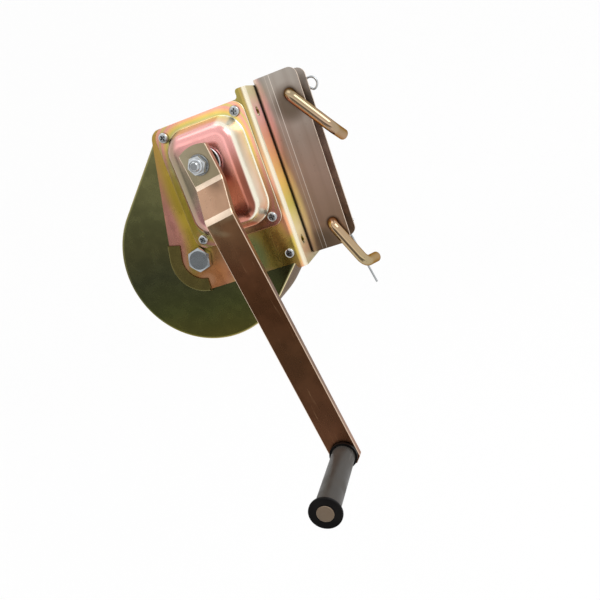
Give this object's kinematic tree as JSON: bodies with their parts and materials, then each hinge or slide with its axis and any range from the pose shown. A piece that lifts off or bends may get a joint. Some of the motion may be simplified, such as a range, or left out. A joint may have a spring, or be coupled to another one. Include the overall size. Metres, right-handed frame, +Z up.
{
  "type": "hand_wire_rope_puller",
  "caption": "Hand-cranked wire rope puller with a geared drum, load brake and a channel that pins onto a square tripod leg",
  "frame": {"origin": "Centre of the leg channel, on the plane that holds both lock-pin axes, halfway between the two pins and midway between the channel flanges.", "axes": "+Z runs up the tripod leg, +X points from the winch frame towards the leg, +Y points away from the crank side."},
  "size_m": [0.291, 0.3236, 0.4169],
  "materials": {
    "yellow_zinc": "yellow-passivated zinc plate with pink and green bands",
    "olive_zinc": "yellow-passivated zinc plate, dark olive reflections",
    "brushed_zinc": "yellow-passivated zinc plate over brushed bar",
    "bright_zinc": "bright blue-white zinc plate",
    "bronze": "sintered bronze",
    "dark_steel": "oiled steel",
    "friction_lining": "moulded friction lining",
    "grip_steel": "dark grey turned sleeve",
    "black_plastic": "black moulded plastic"
  },
  "bodies": {
    "frame_body": {"frame": "yellow_zinc", "leg_channel": "brushed_zinc", "channel_bolts": "bright_zinc", "channel_nuts": "bright_zinc", "gear_cover": "yellow_zinc", "cover_screws": "bright_zinc", "guard_screws": "bright_zinc", "near_guard": "olive_zinc", "far_guard": "olive_zinc", "near_bush": "bronze", "far_bush": "bronze", "axle_spacer": "dark_steel", "axle_bolt": "bright_zinc", "axle_washer": "bright_zinc", "axle_nut": "bright_zinc", "pawl_pin": "dark_steel", "pawl_spring": "dark_steel"},
    "drum_body": {"drum_gear": "yellow_zinc", "drum_barrel": "yellow_zinc", "far_flange": "yellow_zinc", "drum_hub": "yellow_zinc", "drum_bushes": "bronze", "rope_clamp": "bright_zinc", "clamp_screws": "bright_zinc"},
    "crank_body": {"pinion_shaft": "dark_steel", "shaft_circlip": "dark_steel", "inner_friction_disc": "friction_lining", "ratchet_wheel": "dark_steel", "outer_friction_disc": "friction_lining", "crank_hub": "bright_zinc", "hub_disc": "bright_zinc", "crank_washer": "bright_zinc", "crank_nut": "bright_zinc", "crank_arm": "brushed_zinc", "handle_spindle": "dark_steel", "handle_washer": "bright_zinc"},
    "grip_body": {"grip_tube": "grip_steel", "grip_inner_collar": "black_plastic", "grip_outer_collar": "black_plastic"},
    "pawl_body": {"pawl": "dark_steel"},
    "upper_pin_body": {"upper_lock_pin": "yellow_zinc", "upper_pin_washer": "bright_zinc"},
    "upper_clip_body": {"upper_spring_clip": "bright_zinc"},
    "lower_pin_body": {"lower_lock_pin": "yellow_zinc", "lower_pin_washer": "bright_zinc"},
    "lower_clip_body": {"lower_spring_clip": "bright_zinc"}
  },
  "joints": [
    {"name": "drum_spin", "type": "hinge", "parent": "frame_body", "child": "drum_body", "pos_m": [-0.1494, 0, -0.0608], "axis": [0, -1, 0], "continuous": true},
    {"name": "crank_spin", "type": "hinge", "parent": "frame_body", "child": "crank_body", "pos_m": [-0.0939, 0, 0.03417], "axis": [0, -1, 0], "continuous": true},
    {"name": "grip_spin", "type": "hinge", "parent": "crank_body", "child": "grip_body", "pos_m": [-0.04835, -0.19, -0.30276], "axis": [0, -1, 0], "continuous": true},
    {"name": "pawl_swing", "type": "hinge", "parent": "frame_body", "child": "pawl_body", "pos_m": [-0.07231, -0.068, -0.00644], "axis": [0, -1, 0], "range_deg": [-4, 6], "stiffness_Nm_per_rad": 0.02},
    {"name": "upper_pin_turn", "type": "hinge", "parent": "frame_body", "child": "upper_pin_body", "pos_m": [0, 0, 0.0715], "axis": [0, -1, 0], "range_deg": [0, 100]},
    {"name": "upper_clip_pull", "type": "slide", "parent": "upper_pin_body", "child": "upper_clip_body", "axis": [0.7431, 0, 0.6691], "range_m": [0, 0.032]},
    {"name": "lower_pin_turn", "type": "hinge", "parent": "frame_body", "child": "lower_pin_body", "pos_m": [0, 0, -0.0715], "axis": [0, -1, 0], "range_deg": [-45, 0]},
    {"name": "lower_clip_pull", "type": "slide", "parent": "lower_pin_body", "child": "lower_clip_body", "axis": [-0.1908, 0, 0.9816], "range_m": [0, 0.098]}
  ],
  "couplings": [
    {"joint": "crank_spin", "follows": "drum_spin", "ratio": -4.5}
  ]
}
